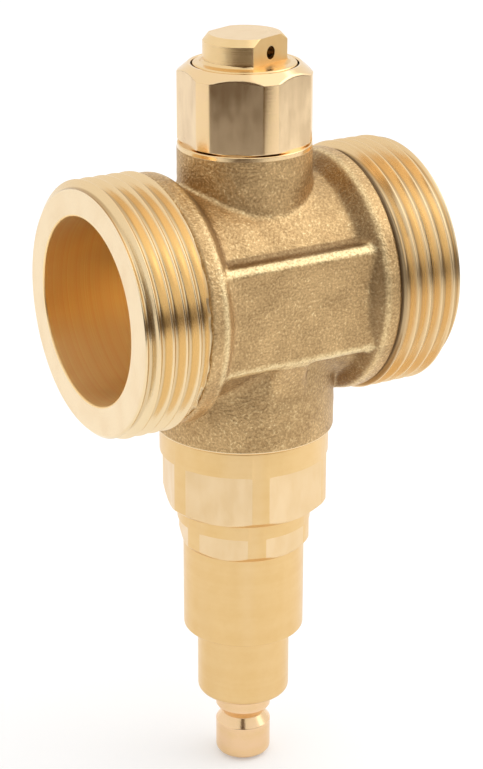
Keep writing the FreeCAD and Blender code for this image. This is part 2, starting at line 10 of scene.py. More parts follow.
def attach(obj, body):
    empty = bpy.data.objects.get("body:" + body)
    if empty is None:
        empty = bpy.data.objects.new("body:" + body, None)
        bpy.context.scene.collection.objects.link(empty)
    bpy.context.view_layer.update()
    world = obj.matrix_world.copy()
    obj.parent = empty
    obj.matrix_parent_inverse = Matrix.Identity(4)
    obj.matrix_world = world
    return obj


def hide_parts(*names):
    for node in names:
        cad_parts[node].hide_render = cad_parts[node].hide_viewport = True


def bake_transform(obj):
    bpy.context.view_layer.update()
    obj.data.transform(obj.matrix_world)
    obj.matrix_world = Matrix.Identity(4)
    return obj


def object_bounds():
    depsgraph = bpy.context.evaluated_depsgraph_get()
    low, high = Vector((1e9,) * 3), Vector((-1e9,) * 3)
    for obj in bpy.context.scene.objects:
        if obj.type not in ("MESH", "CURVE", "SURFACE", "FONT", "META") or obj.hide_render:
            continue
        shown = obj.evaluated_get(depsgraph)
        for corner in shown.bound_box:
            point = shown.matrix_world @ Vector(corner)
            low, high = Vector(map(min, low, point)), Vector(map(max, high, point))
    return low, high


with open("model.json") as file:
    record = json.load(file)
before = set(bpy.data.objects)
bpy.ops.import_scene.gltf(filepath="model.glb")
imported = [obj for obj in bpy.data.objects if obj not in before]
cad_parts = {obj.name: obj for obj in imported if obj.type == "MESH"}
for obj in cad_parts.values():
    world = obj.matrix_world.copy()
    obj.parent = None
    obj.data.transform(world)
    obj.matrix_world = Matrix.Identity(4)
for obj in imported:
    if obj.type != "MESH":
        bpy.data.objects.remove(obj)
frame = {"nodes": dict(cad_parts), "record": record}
cad_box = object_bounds()

# Lengths are millimetres until a mesh is made, and heights count from the pipe's axis. X runs along
# the pipe, Z points up, and the origin is where the pipe's axis crosses the axis of the two bosses.
MM = 0.001
TURN = 2 * math.pi
FAR = 1000.0


def mount_size(name, size):
    mount = next(item for item in frame["record"]["mounts"] if item["name"] == name)
    return mount["dims"][size]


# Forged body and its ports
THREAD_RADIUS = mount_size("port_left", "r_mm")
FLOW_RADIUS = mount_size("flow_bore", "r_mm")
PORT_FACE = mount_size("flow_bore", "length_mm") / 2
PITCH = 2.309
THREAD_DEPTH = 0.6403 * PITCH
THREAD_ROOT = THREAD_RADIUS - THREAD_DEPTH
THREAD_SLOPE = 2 * 0.9605
THREAD_CREST = 0.17
CREST_ROUND = 0.16
ROOT_ROUND = 0.5
ROW_SHARES = (0.02, 0.045, 0.08, 0.20, 0.32, 0.41)
LEFT_PHASE, RIGHT_PHASE = 0.176, 0.30
THREAD_START = 18.0
THREAD_CHAMFER = 0.95
RELIEF_START = 17.7
RELIEF_RADIUS = 19.3
COLLAR_RADIUS = 20.4
COLLAR_FOOT = 12.1
COLLAR_START = 14.5
COLLAR_ROUND = 0.9
COLLAR_EDGE = 0.7
WAIST_RADIUS = 17.7
PAD_REACH = 18.0
PAD_HALF_HEIGHT = 9.1
PAD_BEVEL = 1.05
PAD_EDGE = 0.35
PAD_BLEND = 0.7
FORGING_BLEND = 0.9
BOSS_BLEND = 0.9
TOP_BOSS_RADIUS = 10.93
TOP_BOSS_HEIGHT = 24.0
BASE_BOSS_RADIUS = 15.0
BASE_BOSS_DEPTH = 24.6
WEB_PLACE, WEB_HALF_WIDTH = -0.6, 3.3
WEB_FOOT, WEB_ROUND = 14.0, 1.6
TOP_BAND, BASE_BAND = 0.76, 0.45
BAND_STEP = 0.05
TOP_BOSS_EDGE, BASE_BOSS_EDGE = 0.12, 0.3
BREAKER_HOLE = 8.35
CARTRIDGE_HOLE = 10.55
HOLE_CHAMFER = 0.4
HOLE_EDGE = 0.5
SLOW_WAVE, QUICK_WAVE = 0.035, 0.025
WAVE_END, WAVE_TOP, WAVE_FADE = 15.8, 21.8, 2.0

# Painted shade in the forging's corners and painted highlights along its edges: how far each one reaches, and
# over what width it fades
LEDGE_SHADE, LEDGE_FADE = 0.3, 0.2
BEVEL_SHADE, BEVEL_FADE = 0.15, 0.3
WAIST_SHADE, WAIST_FADE = 1.05, 0.35
SLOPE_SHADE, SLOPE_FADE = 0.39, 0.3
SLOPE_END, SLOPE_END_FADE = COLLAR_START + 0.2, 0.5
COLLAR_SHADE = 1.3
PAD_LEVEL, PAD_LEVEL_FADE = PAD_HALF_HEIGHT + 0.3, 0.6
BASE_SHADE, BASE_SHADE_FADE = 27.0, 15.0
FOOT_LINE = 0.4
EDGE_LINE = 1.2 * COLLAR_EDGE

# The middle of the body is meshed on a grid inside this box; the rims beyond it are turned. The pads'
# faces and ledges lie in the middle of a cell.
GRID_STEP = PAD_HALF_HEIGHT / 19.5
GRID_LOW = (-16.0, -21.4, -50 * GRID_STEP)
GRID_HIGH = (16.0, 21.4, 48 * GRID_STEP)
RIM_GAP = 0.2

EDGE = 0.12
ARC_STEPS = 4
CORNER_SHARE = 0.38
GUARD_SHARE = 0.5 / CORNER_SHARE - 1.02
FLAT_MARGIN = 0.08
FLAT_ROWS = 0.25
STEP_GAP = 0.015
FLATS_TURN = -19.0
CAP_TURN = -68.0
MERGE = 0.004
SLOPE_REACH = 0.02
SHARP_EDGE, SHARP_FORGED_EDGE = math.radians(38), math.radians(50)


# Shapes

def soft_min(first, second, width):
    """The smaller of two values, rounded off where they differ by less than the width."""
    near = np.maximum(width - np.abs(first - second), 0) / width
    return np.minimum(first, second) - near ** 2 * width / 4


def soft_max(first, second, width):
    return -soft_min(-first, -second, width)


def rising(value, width):
    """0 below zero, 1 above the width, and a straight ramp between them."""
    return np.clip(value / width, 0, 1)


def forging_wave(x, y, z):
    """Slow unevenness of a forged skin, a few hundredths high, that dies out towards the turned rims."""
    slow = np.sin(0.61 * x + 1.1 * z) * np.sin(0.83 * y - 0.4 * x + 1.0)
    quick = np.sin(1.7 * z + 0.9 * x) * np.sin(1.3 * x - 0.8 * y)
    fade = rising(WAVE_END - np.abs(x), WAVE_FADE) * rising(WAVE_TOP - np.abs(z), WAVE_FADE)
    return (SLOW_WAVE * slow + QUICK_WAVE * quick) * fade


def pad_distance(y, z):
    """Distance to the two pads, and to the bevel along their edges."""
    out = np.abs(y) - PAD_REACH
    up = np.abs(z) - PAD_HALF_HEIGHT
    return soft_max(out, up, PAD_EDGE), (out + up + PAD_BEVEL) / math.sqrt(2)


def collar_distance(x, from_pipe):
    """Distance to the collars: a ring at each end whose inner side slopes down to the waist."""
    run, rise = COLLAR_START - COLLAR_FOOT, COLLAR_RADIUS - WAIST_RADIUS
    foot = ((from_pipe - WAIST_RADIUS) * run - (np.abs(x) - COLLAR_FOOT) * rise) / math.hypot(run, rise)
    return soft_max(from_pipe - COLLAR_RADIUS, foot, COLLAR_EDGE)


def web_distance(x, y, z):
    """Distance to the low web under each pad, which slopes from the pad's lower bevel to the base boss."""
    out, down = PAD_REACH - PAD_BEVEL - BASE_BOSS_RADIUS, WEB_FOOT - PAD_HALF_HEIGHT
    slope = ((np.abs(y) - BASE_BOSS_RADIUS) * down - (z + WEB_FOOT) * out) / math.hypot(out, down)
    sides = np.abs(x - WEB_PLACE) - WEB_HALF_WIDTH
    return np.maximum(soft_max(sides, slope, WEB_ROUND), z + PAD_HALF_HEIGHT - PAD_BEVEL)


def body_field(x, y, z):
    """Distance to the body's skin, negative inside the metal.

    Waist tube, two bevelled pads with a web under each, a collar with a sloped foot at each end and the
    two bosses are joined with soft corners. The bore along the pipe and the two upright holes are then
    taken away.
    """
    from_pipe = np.hypot(y, z)
    from_stem = np.hypot(x, y)
    skin = soft_min(from_pipe - WAIST_RADIUS, soft_max(*pad_distance(y, z), PAD_EDGE), PAD_BLEND)
    skin = soft_min(skin, collar_distance(x, from_pipe), FORGING_BLEND)
    top_boss = np.maximum(from_stem - TOP_BOSS_RADIUS, -z)
    base_boss = np.maximum(from_stem - BASE_BOSS_RADIUS, z)
    skin = soft_min(skin, top_boss, BOSS_BLEND)
    skin = soft_min(skin, base_boss, BOSS_BLEND)
    skin = soft_min(skin, web_distance(x, y, z), BOSS_BLEND)
    skin = skin + forging_wave(x, y, z)
    skin = soft_max(skin, FLOW_RADIUS - from_pipe, HOLE_EDGE)
    hole = np.where(z > 0, BREAKER_HOLE, CARTRIDGE_HOLE) - from_stem
    return soft_max(skin, hole, HOLE_EDGE)


def forging_marks(points):
    """How far a point lies in painted shade and in a painted highlight on the forging, each from 0 to 1.

    Painted shade lies on the ledges of the pads, the waist beside them, the collars' inner sides and the
    lower boss under the pads. Painted highlights lie along the pads' bevels, the foot of the top boss and the
    edges of the collars.
    """
    x, y, z = points.T
    from_pipe = np.hypot(y, z)
    pads, bevel = pad_distance(y, z)
    waist = from_pipe - WAIST_RADIUS
    collar = collar_distance(x, from_pipe)
    off_level = np.abs(np.abs(z) - PAD_HALF_HEIGHT)
    beside_left = rising(PAD_LEVEL - np.abs(z), PAD_LEVEL_FADE) * (x < 0)
    on_web = rising(PAD_BLEND - web_distance(x, y, z), PAD_BLEND) * (np.abs(y) > BASE_BOSS_RADIUS)

    # Painted shade on the pads' ledges, on the waist beside them, on the collars' inner sides and round them
    # (weaker on the left at the pads' height, where the light falls), and under the pads on the lower boss
    ledge_painted_shade = rising(LEDGE_SHADE - off_level, LEDGE_FADE) * rising(waist, LEDGE_FADE)
    ledge_painted_shade = ledge_painted_shade * rising(BEVEL_SHADE - bevel, BEVEL_FADE)
    beside_pad = np.hypot(np.abs(y) - math.sqrt(WAIST_RADIUS ** 2 - PAD_HALF_HEIGHT ** 2), off_level)
    painted_shade_beside_pad = 0.9 * rising(WAIST_SHADE - beside_pad, WAIST_FADE)
    slope = rising(SLOPE_SHADE - np.abs(collar), SLOPE_FADE) * rising(SLOPE_END - np.abs(x), SLOPE_END_FADE)
    slope = slope * (1 - 0.35 * rising(waist, COLLAR_RADIUS - WAIST_RADIUS)) * np.where(x < 0, 0.85, 1)
    beside_collar = np.maximum(np.abs(np.minimum(waist, pads)), np.abs(collar))
    painted_shade_near_collar = 0.35 * rising(COLLAR_SHADE - beside_collar, COLLAR_SHADE)
    painted_shade_in_collar = np.maximum(slope, painted_shade_near_collar) * (1 - 0.85 * beside_left)
    under_pad = (z < -PAD_HALF_HEIGHT) * (np.abs(x) < COLLAR_FOOT)
    painted_shade_under_pad = 0.5 * rising(z + BASE_SHADE, BASE_SHADE_FADE) * under_pad
    painted_shade = np.maximum.reduce([ledge_painted_shade, painted_shade_beside_pad, painted_shade_in_collar, painted_shade_under_pad]) * (1 - 0.5 * on_web)

    # Painted highlights along the pads' bevels, on the foot of the top boss and on the collars' edges
    # (stronger on the left at the pads' height)
    wavy = bevel - pads + 0.07 * np.sin(2.1 * x) + 0.05 * np.sin(5.3 * x + 1) + np.where(z < 0, 0.25, 0)
    painted_bevel_highlight = rising(wavy + PAD_EDGE / 2, PAD_EDGE) * (np.abs(np.maximum(pads, bevel)) < PAD_EDGE)
    beside_boss = np.maximum(np.abs(np.hypot(x, y) - TOP_BOSS_RADIUS), np.abs(waist))
    painted_boss_foot_highlight = 0.6 * rising(FOOT_LINE - beside_boss, FOOT_LINE) * (z > 0)
    off_edge = np.hypot(np.abs(x) - COLLAR_START - COLLAR_EDGE / 2, from_pipe - COLLAR_RADIUS)
    painted_collar_edge_highlight = (0.5 + 0.4 * beside_left) * rising(EDGE_LINE - off_edge, COLLAR_EDGE)
    return painted_shade, np.maximum.reduce([painted_bevel_highlight * (1 - 0.5 * on_web), painted_boss_foot_highlight, painted_collar_edge_highlight])


def slope_of(field, points):
    """Slope of the field at each point, from its values a little to either side."""
    shifts = np.eye(3) * SLOPE_REACH
    rise = [field(*(points + shift).T) - field(*(points - shift).T) for shift in shifts]
    return np.stack(rise, -1) / (2 * SLOPE_REACH)


def level_surface(field, low, high, step, rounds=6):
    """Quads on the surface where the field is zero.

    The box is divided into cells. Each cell that the surface crosses gets one point, which moves from
    the middle of the cell along the field's slope onto the surface. Each grid line that crosses the
    surface gets a quad between the four cells round it.
    """
    lines = [np.linspace(start, end, round((end - start) / step) + 1) for start, end in zip(low, high)]
    inside = field(*np.meshgrid(*lines, indexing="ij", sparse=True)) < 0
    filled = np.zeros([len(line) - 1 for line in lines], int)
    for corner in np.ndindex(2, 2, 2):
        filled += inside[tuple(slice(c, c + n) for c, n in zip(corner, filled.shape))]
    crossed = (filled > 0) & (filled < 8)
    number = np.full(filled.shape, -1)
    number[crossed] = np.arange(crossed.sum())
    cells = np.argwhere(crossed)
    middles = [(line[:-1] + line[1:]) / 2 for line in lines]
    points = np.stack([middle[cells[:, axis]] for axis, middle in enumerate(middles)], -1)
    for _ in range(rounds):
        slope = slope_of(field, points)
        length = np.maximum((slope ** 2).sum(-1, keepdims=True), 0.1)
        points = points - field(*points.T)[:, None] * slope / length

    quads = []
    for axis in range(3):
        one, other = np.eye(3, dtype=int)[[(axis + 1) % 3, (axis + 2) % 3]]
        change = np.diff(inside.astype(int), axis=axis)
        spots = np.argwhere(change)
        across = (one + other).astype(bool)
        beside = spots[:, across]
        spots = spots[((beside > 0) & (beside < np.array(filled.shape)[across])).all(1)]
        ring = [spots - one - other, spots - other, spots, spots - one]
        quad = np.stack([number[tuple(cell.T)] for cell in ring], -1)
        inwards = change[tuple(spots.T)] > 0
        quad[inwards] = quad[inwards, ::-1]
        quads.append(quad)
    return points, np.concatenate(quads)


def rounded_outline(corners):
    """Points of an outline of straight runs, where each corner is an arc of its own radius.

    A corner is (across, along), with a third value where its radius isn't that of a usual edge. A guard
    point before and after each arc keeps the runs flat.
    """
    spots = np.array([corner[:2] for corner in corners], float)
    back, ahead = np.roll(spots, 1, 0) - spots, np.roll(spots, -1, 0) - spots
    back_length, ahead_length = np.linalg.norm(back, axis=1), np.linalg.norm(ahead, axis=1)
    shortest = np.minimum(back_length, ahead_length)
    back, ahead = back / back_length[:, None], ahead / ahead_length[:, None]
    share = np.linspace(0, 1, ARC_STEPS + 1)[:, None]
    runs = []
    for (_, _, *given), spot, to_last, to_next, length in zip(corners, spots, back, ahead, shortest):
        radius = given[0] if given else EDGE
        if radius == 0:
            runs.append([spot])
            continue
        half = math.acos(np.clip(to_last @ to_next, -1, 1)) / 2
        room = min(radius / math.tan(half), CORNER_SHARE * length)
        bisector = to_last + to_next
        centre = spot + bisector / np.linalg.norm(bisector) * room / math.cos(half)
        start, end = spot + to_last * room - centre, spot + to_next * room - centre
        sweep = math.pi - 2 * half
        arc = (np.sin((1 - share) * sweep) * start + np.sin(share * sweep) * end) / math.sin(sweep)
        guard = room + room * GUARD_SHARE
        runs += [[spot + to_last * guard], centre + arc, [spot + to_next * guard]]
    return np.concatenate(runs)


def divided(outline, longest, low, high):
    """The outline with more points between two heights, so that no run there is longer than given."""
    runs = []
    for start, end in zip(outline[:-1], outline[1:]):
        near = max(start[1], end[1]) > low and min(start[1], end[1]) < high
        count = math.ceil(np.linalg.norm(end - start) / longest) if near else 1
        runs.append(start + (end - start) * np.arange(count)[:, None] / count)
    return np.concatenate([*runs, outline[-1:]])


def grid_quads(rows, columns, loop=False, shift=0):
    """Quads of a grid that closes across its columns, and across its rows too where it loops.

    With a shift, the last column meets the first one that many rows further on.
    """
    row = np.arange(rows if loop else rows - 1)[:, None]
    column = np.arange(columns)[None]
    ahead = np.where(column == columns - 1, shift, 0)
    next_row, next_column = (row + 1) % rows if loop else row + 1, (column + 1) % columns
    corners = [(row, column), (row + ahead, next_column), (next_row + ahead, next_column), (next_row, column)]
    quads = np.stack([r * columns + c for r, c in corners], -1)
    return quads[next_row + ahead < rows]


def pole_faces(rows, columns):
    """Triangles that close both ends of a grid onto the two points that follow its own."""
    ring = np.arange(columns)
    following, last, pole = (ring + 1) % columns, (rows - 1) * columns, 0 * ring + rows * columns
    ends = [(following, ring, pole), (last + ring, last + following, pole + 1)]
    return np.concatenate([np.column_stack(end) for end in ends]).tolist()


def thread_profile(along, angle, phase):
    """Radius of the thread: from a narrow crest it falls by the flank's slope to a rounded root.

    The crest moves along by one pitch for each turn round the port.
    """
    wound = along / PITCH - angle / TURN - phase
    off_crest = np.abs((wound + 0.5) % 1 - 0.5) * PITCH
    flank = THREAD_RADIUS + THREAD_CREST - THREAD_SLOPE * off_crest
    root = soft_max(flank, THREAD_ROOT, ROOT_ROUND)
    return soft_min(root, THREAD_RADIUS, CREST_ROUND)


def burr(angle, ragged):
    """Ragged edge where the thread was cut off at the relief groove."""
    waves = 0.04 * np.sin(17 * angle + 1) + 0.035 * np.sin(29 * angle + 2.3) + 0.03 * np.sin(43 * angle)
    return ragged * waves


def plain_rows(outline, angle):
    """Rows of a turned surface: each point of the outline is carried round the axis."""
    radius, along = outline[:, :1], outline[:, 1:]
    return radius + 0 * angle, along + 0 * angle


def port_rim(side, phase, ragged, columns=180):
    """One port from its collar over the thread and the face to its bore, as radius and place along.

    The rows of the thread follow its helix, so that a row lies on each crest, and they stop at the relief
    groove and at the face. Rows that end there fall together and are merged later. The port on the other
    side is the same surface turned half round.
    """
    start = GRID_HIGH[0] + RIM_GAP
    angle = np.linspace(0, TURN, columns, endpoint=False)[None]
    turn = np.linspace(0, TURN / 4, 2 * ARC_STEPS)
    collar = np.concatenate([
        [(COLLAR_RADIUS, start)],
        np.column_stack([
            COLLAR_RADIUS - COLLAR_ROUND * (1 - np.cos(turn)),
            RELIEF_START - COLLAR_ROUND * (1 - np.sin(turn)),
        ]),
        [(RELIEF_RADIUS + EDGE, RELIEF_START), (RELIEF_RADIUS, RELIEF_START + EDGE / 2)],
        [(RELIEF_RADIUS, THREAD_START)],
    ])
    half = np.array(ROW_SHARES)
    profile = np.concatenate([[-0.5], -half[::-1], [0], half])
    first = math.floor(THREAD_START / PITCH - phase - 0.8)
    last = math.ceil(PORT_FACE / PITCH - phase + 0.8)
    wound = (np.arange(first, last)[:, None] + profile).reshape(-1, 1)
    begin, end = THREAD_START + burr(angle, ragged), PORT_FACE - EDGE / 2
    along = np.clip(PITCH * (wound + angle / TURN + phase), begin, end)
    chamfer = THREAD_RADIUS - np.maximum(along - PORT_FACE + THREAD_CHAMFER, 0)
    thread = soft_min(thread_profile(along, angle, phase), chamfer, EDGE)
    edge = thread[-1:]
    bore = rounded_outline([
        (RELIEF_RADIUS, PORT_FACE, 0),
        (FLOW_RADIUS, PORT_FACE, EDGE * 2),
        (FLOW_RADIUS, start, 0),
    ])
    near_face = np.full_like(edge, PORT_FACE)
    rows = [
        plain_rows(collar, angle),
        (thread, along),
        (edge - EDGE / 2, near_face),
        (edge - EDGE, near_face),
        plain_rows(bore, angle),
    ]
    radius, along = (np.concatenate(item) for item in zip(*rows))
    points = np.stack([along, radius * np.cos(angle), radius * np.sin(angle)], -1).reshape(-1, 3)
    before = len(collar) * columns
    after = before + (len(thread) - 1) * columns
    quads = [
        grid_quads(len(collar) + 1, columns),
        grid_quads(len(thread), columns, shift=len(profile)) + before,
        grid_quads(len(bore) + 3, columns) + after,
    ]
    return points * (side, 1, side), np.concatenate(quads)


def boss_rim(side, boss_radius, hole_radius, end, band, edge, columns):
    """The end of a boss from its forged wall over a turned band and the face into the chamfered hole."""
    start = (GRID_HIGH[2] if side > 0 else -GRID_LOW[2]) + RIM_GAP
    outline = rounded_outline([
        (boss_radius, start, 0), (boss_radius, end - band - BAND_STEP), (boss_radius - BAND_STEP, end - band),
        (boss_radius - BAND_STEP, end - edge), (boss_radius - BAND_STEP - edge, end),
        (hole_radius + HOLE_CHAMFER, end), (hole_radius, end - HOLE_CHAMFER), (hole_radius, start, 0),
    ])
    angle = np.linspace(0, TURN, columns, endpoint=False)[None]
    radius, along = plain_rows(outline, angle)
    points = np.stack([radius * np.cos(angle), radius * np.sin(angle), side * along], -1)
    return points.reshape(-1, 3), grid_quads(len(outline), columns)


def flats_limit(angle, height, sides, reach, turn, low, high):
    """Distance from the axis to milled flats: the reach over the cosine of the angle off a flat's middle."""
    pitch = TURN / sides
    off = (angle - math.radians(turn) + pitch / 2) % pitch - pitch / 2
    return np.where((height > low) & (height < high), reach / np.cos(off), FAR)


def flat_edges(radius, sides, reach, turn, margin=math.radians(0.5)):
    """Angles at which the milled flats meet the round, with one just before and after each."""
    middle = math.radians(turn) + TURN / sides * np.arange(sides)[:, None, None]
    half = math.acos(reach / radius) * np.array([-1, 1])[None, :, None]
    return (middle + half + margin * np.array([-1, 0, 1])).ravel() % TURN


def lathe(corners, columns, flats=None, blank=None):
    """A turned solid: an outline carried round the axis, its radius cut back to any milled flats.

    An outline that starts and ends on the axis is closed by a point at each end, and any other
    outline is a loop. Returns points, faces and a mark for each point that lies on a flat.
    """
    outline = rounded_outline(corners)
    angle = np.linspace(0, TURN, columns, endpoint=False)
    if flats:
        outline = divided(outline, FLAT_ROWS, flats["low"], flats["high"])
        edges = flat_edges(blank, flats["sides"], flats["reach"], flats["turn"])
        angle = np.unique(np.round(np.concatenate([angle, edges]), 5))
    solid = outline[0, 0] == 0
    poles = outline[[0, -1]]
    if solid:
        outline = outline[1:-1]
    radius, height = outline[:, :1], outline[:, 1:]
    angle = angle[None]
    mark = 0 * radius * angle
    if flats:
        limit = flats_limit(angle, height, **flats)
        mark = (flats_limit(angle, height + FLAT_MARGIN, **flats) < radius).astype(float)
        radius = soft_min(radius, limit, EDGE)
    points = np.stack([radius * np.cos(angle), radius * np.sin(angle), height + 0 * angle], -1)
    rows, columns = points.shape[:2]
    points = points.reshape(-1, 3)
    faces = grid_quads(rows, columns, not solid).tolist()
    if solid:
        points = np.concatenate([points, np.column_stack([[0, 0], [0, 0], poles[:, 1]])])
        faces += pole_faces(rows, columns)
        mark = np.append(mark, [0, 0])
    return points, faces, mark.ravel()


def coil(radius, wire, turns, low, high, steps=48, sides=12):
    """A round wire wound on a helix whose rise eases out at both ends, closed by a point at each end."""
    share = np.linspace(0, 1, round(turns * steps) + 1)[:, None]
    angle = share * turns * TURN
    ease = 0.5 / turns
    rise = share - ease * np.sin(TURN * share) / TURN * 2
    height = low + wire / 2 + (high - low - wire) * rise
    out = np.stack([np.cos(angle), np.sin(angle), 0 * angle], -1)
    centre = radius * out + np.stack([0 * angle, 0 * angle, height], -1)
    around = np.linspace(0, TURN, sides, endpoint=False)[None, :, None]
    up = np.array([0, 0, 1.0])
    points = centre + wire / 2 * (np.cos(around) * out + np.sin(around) * up)
    faces = grid_quads(len(share), sides).tolist() + pole_faces(len(share), sides)
    return np.concatenate([points.reshape(-1, 3), centre[0], centre[-1]]), faces


# Meshes and pieces

def outward(points, faces):
    """The faces, turned round if the volume that they close comes out negative."""
    triangles = [face[:3] for face in faces] + [[face[0], *face[2:]] for face in faces if len(face) == 4]
    first, second, third = points[np.array(triangles).T]
    volume = np.einsum("ij,ij->", first, np.cross(second, third))
    return faces if volume > 0 else [face[::-1] for face in faces]


def merge_points(mesh, reach):
    """Join the points of a mesh that fall together, where a flat cuts several rows back to one line."""
    form = bmesh.new()
    form.from_mesh(mesh)
    bmesh.ops.remove_doubles(form, verts=form.verts, dist=reach)
    form.to_mesh(mesh)
    form.free()


def add_object(name, data):
    item = bpy.data.objects.new(name, data)
    bpy.context.scene.collection.objects.link(item)
    return item


def new_piece(name, points, faces, node, body, material, marks=None, normals=None):
    """An object from points in millimetres that stands for a CAD node and rides on its body.

    Marks are named values, one for each point. A normal that isn't zero is kept as it is given, and the
    others follow from the faces. A spring rides on no single body.
    """
    mesh = bpy.data.meshes.new(name)
    mesh.from_pydata(points * MM, [], faces)
    mesh.validate()
    for mark, values in (marks or {}).items():
        mesh.attributes.new(mark, "FLOAT", "POINT").data.foreach_set("value", values)
    if normals is None:
        merge_points(mesh, MERGE * MM / 4)
    mesh.shade_smooth()
    mesh.set_sharp_from_angle(angle=SHARP_EDGE if normals is None else SHARP_FORGED_EDGE)
    if normals is not None:
        mesh.normals_split_custom_set_from_vertices(normals)
    mesh.materials.append(material)
    piece = add_object(name, mesh)
    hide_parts(node)
    if body:
        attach(piece, body)
    return piece


def bridge(form, axis, side, limit, split):
    """Close the gap between the grid's open ring and a rim's open ring, outside and in the bore."""
    rings = {True: [], False: []}
    for edge in form.edges:
        if edge.is_boundary and all(side * vertex.co[axis] > limit for vertex in edge.verts):
            spot = edge.verts[0].co.copy()
            spot[axis] = 0
            rings[spot.length > split].append(edge)
    for ring in rings.values():
        bmesh.ops.bridge_loops(form, edges=ring)


def field_normals(points):
    """Exact normals for the points on the blended middle, and zero for those on the turned rims."""
    gap = RIM_GAP + SLOPE_REACH
    inside = ((points > np.array(GRID_LOW) - gap) & (points < np.array(GRID_HIGH) + gap)).all(1)
    inside &= np.abs(body_field(*points.T)) < SLOPE_REACH
    slope = slope_of(body_field, points)
    return slope / np.linalg.norm(slope, axis=1, keepdims=True) * inside[:, None]


def make_body(material):
    """The forged body: a soft-blended middle, two threaded ports and two boss ends in one skin."""
    parts = [
        port_rim(-1, LEFT_PHASE, ragged=1.0),
        port_rim(1, RIGHT_PHASE, ragged=0.2),
        level_surface(body_field, GRID_LOW, GRID_HIGH, GRID_STEP),
        boss_rim(1, TOP_BOSS_RADIUS, BREAKER_HOLE, TOP_BOSS_HEIGHT, TOP_BAND, TOP_BOSS_EDGE, 150),
        boss_rim(-1, BASE_BOSS_RADIUS, CARTRIDGE_HOLE, BASE_BOSS_DEPTH, BASE_BAND, BASE_BOSS_EDGE, 190),
    ]
    spots, quads = zip(*parts)
    points = np.concatenate(spots)
    starts = np.cumsum([0, *map(len, spots[:-1])])
    faces = np.concatenate([quad + start for quad, start in zip(quads, starts)])
    mesh = bpy.data.meshes.new("valve_body_forging")
    mesh.from_pydata(points, [], faces.tolist())
    form = bmesh.new()
    form.from_mesh(mesh)
    form.verts.ensure_lookup_table()
    bmesh.ops.remove_doubles(form, verts=form.verts[:starts[2]], dist=MERGE)
    for side in (-1, 1):
        bridge(form, 0, side, GRID_HIGH[0] - GRID_STEP, (COLLAR_RADIUS + FLOW_RADIUS) / 2)
    bridge(form, 2, 1, GRID_HIGH[2] - GRID_STEP, (TOP_BOSS_RADIUS + BREAKER_HOLE) / 2)
    bridge(form, 2, -1, -GRID_LOW[2] - GRID_STEP, (BASE_BOSS_RADIUS + CARTRIDGE_HOLE) / 2)
    bmesh.ops.recalc_face_normals(form, faces=form.faces)
    points = np.array([vertex.co for vertex in form.verts])
    form.verts.index_update()
    faces = [[vertex.index for vertex in face.verts] for face in form.faces]
    form.free()
    bpy.data.meshes.remove(mesh)
    normals = field_normals(points)
    # The marks carry painted shade and painted highlight; the one named bevel also lies on the top boss's
    # foot and the collars' edges
    marks = dict(zip(("painted_shade", "bevel"), forging_marks(points)))
    new_piece("valve_body_forging", points, faces, "valve_body", "valve", material,
              marks, normals)


def make_turned(name, node, corners, material, columns, flats, blank, body="valve"):
    """A turned piece of brass whose flats are milled into a round of the blank's radius."""
    points, faces, flat = lathe(corners, columns, flats, blank)
    return new_piece(name, points, outward(points, faces), node, body, material,
                     marks={"flat": flat})


def make_breaker_housing(material):
    """Hexagon housing: spigot with a seal groove, foot chamfer, chamfered top and a rim round the cap."""
    spigot, spigot_end = 8.28, 15.6
    groove, groove_low, groove_top = 6.75, 21.7, 23.5
    across_corners, reach = 10.86, 10.0
    seat, foot, shoulder, rim = TOP_BOSS_HEIGHT, 0.35, 35.27, 36.75
    rim_radius, cap_room, cap_seat = 9.1, 8.6, 34.2
    air_hole, nozzle, nozzle_end = 3.0, 3.9, 30.6
    chamber, chamber_roof = 5.6, 31.2
    lip, lip_top = 5.0, 17.0
    corners = [
        (spigot, spigot_end), (spigot, groove_low), (groove, groove_low), (groove, groove_top),
        (spigot, groove_top), (spigot, seat), (across_corners - foot * 2, seat),
        (across_corners, seat + foot), (across_corners, shoulder), (rim_radius, rim),
        (cap_room, rim, EDGE * 2), (cap_room, cap_seat), (air_hole, cap_seat), (air_hole, nozzle_end),
        (nozzle, nozzle_end), (nozzle, chamber_roof), (chamber, chamber_roof), (chamber, lip_top),
        (lip, lip_top), (lip, spigot_end),
    ]
    flats = dict(sides=6, reach=reach, turn=-8.0, low=seat - EDGE, high=rim + EDGE)
    make_turned("breaker_housing_hexagon", "breaker_housing", corners, material, 192, flats, across_corners)


def make_breaker_cap(material):
    """Cap: flange, turned head with two flats and a chamfered top, and an air hole drilled across."""
    hollow, hollow_roof = 3.2, 40.0
    flange, flange_low, flange_top = 8.35, 34.9, 36.85
    head, head_low, head_root, shoulder = 6.75, 37.05, 0.5, 40.4
    top_radius, top = 5.79, 41.46
    corners = [
        (0, hollow_roof, 0), (hollow, hollow_roof), (hollow, flange_low), (flange, flange_low),
        (flange, flange_top, EDGE * 2.5), (head, head_low, head_root), (head, shoulder),
        (top_radius, top), (0, top, 0),
    ]
    flats = dict(sides=2, reach=5.1, turn=CAP_TURN, low=head_low + 0.02, high=top + EDGE)
    piece = make_turned("breaker_cap_head", "breaker_cap", corners, material, 192, flats, head)
    drill_vent(piece, radius=1.05, height=38.9, turn=CAP_TURN, length=20.0)


